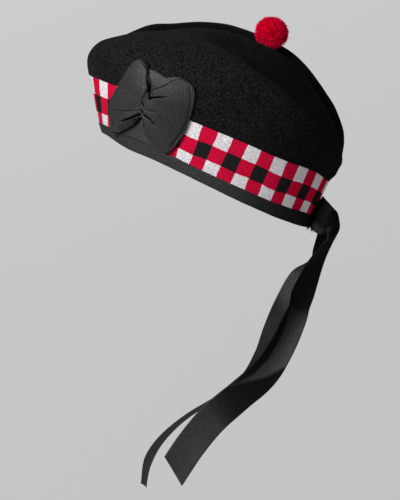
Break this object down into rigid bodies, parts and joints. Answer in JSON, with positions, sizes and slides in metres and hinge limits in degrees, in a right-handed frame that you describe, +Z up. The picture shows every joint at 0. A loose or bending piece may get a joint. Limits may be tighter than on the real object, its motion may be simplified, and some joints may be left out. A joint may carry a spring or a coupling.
{
  "type": "glengarry cap",
  "caption": "Rounded felted-wool Scottish cap with a diced band, ribbon binding, gathered rosette on the wearer's left, red pompom on top and ribbon tails hanging behind.",
  "frame": {"origin": "centre of the rim that the head goes into, level with the rim's lowest points at front and back", "axes": "+Z up out of the crown, -Y towards the wearer's front, +X towards the wearer's left"},
  "size_m": [0.1872, 0.2611, 0.4113],
  "materials": {
    "felt": "black felted wool, matt, faintly fuzzy",
    "dicing": "woven wool in red, white and black squares",
    "ribbon": "black grosgrain ribbon with a slight sheen",
    "pompom": "red wool yarn, cut and dense"
  },
  "bodies": {
    "root": {"crown": "felt", "diced_band": "dicing", "edge_binding": "ribbon", "rosette_backing": "ribbon", "rosette_bow": "ribbon", "toorie": "pompom", "tie_knot": "ribbon", "tail_left": "ribbon", "tail_right": "ribbon"}
  },
  "joints": []
}
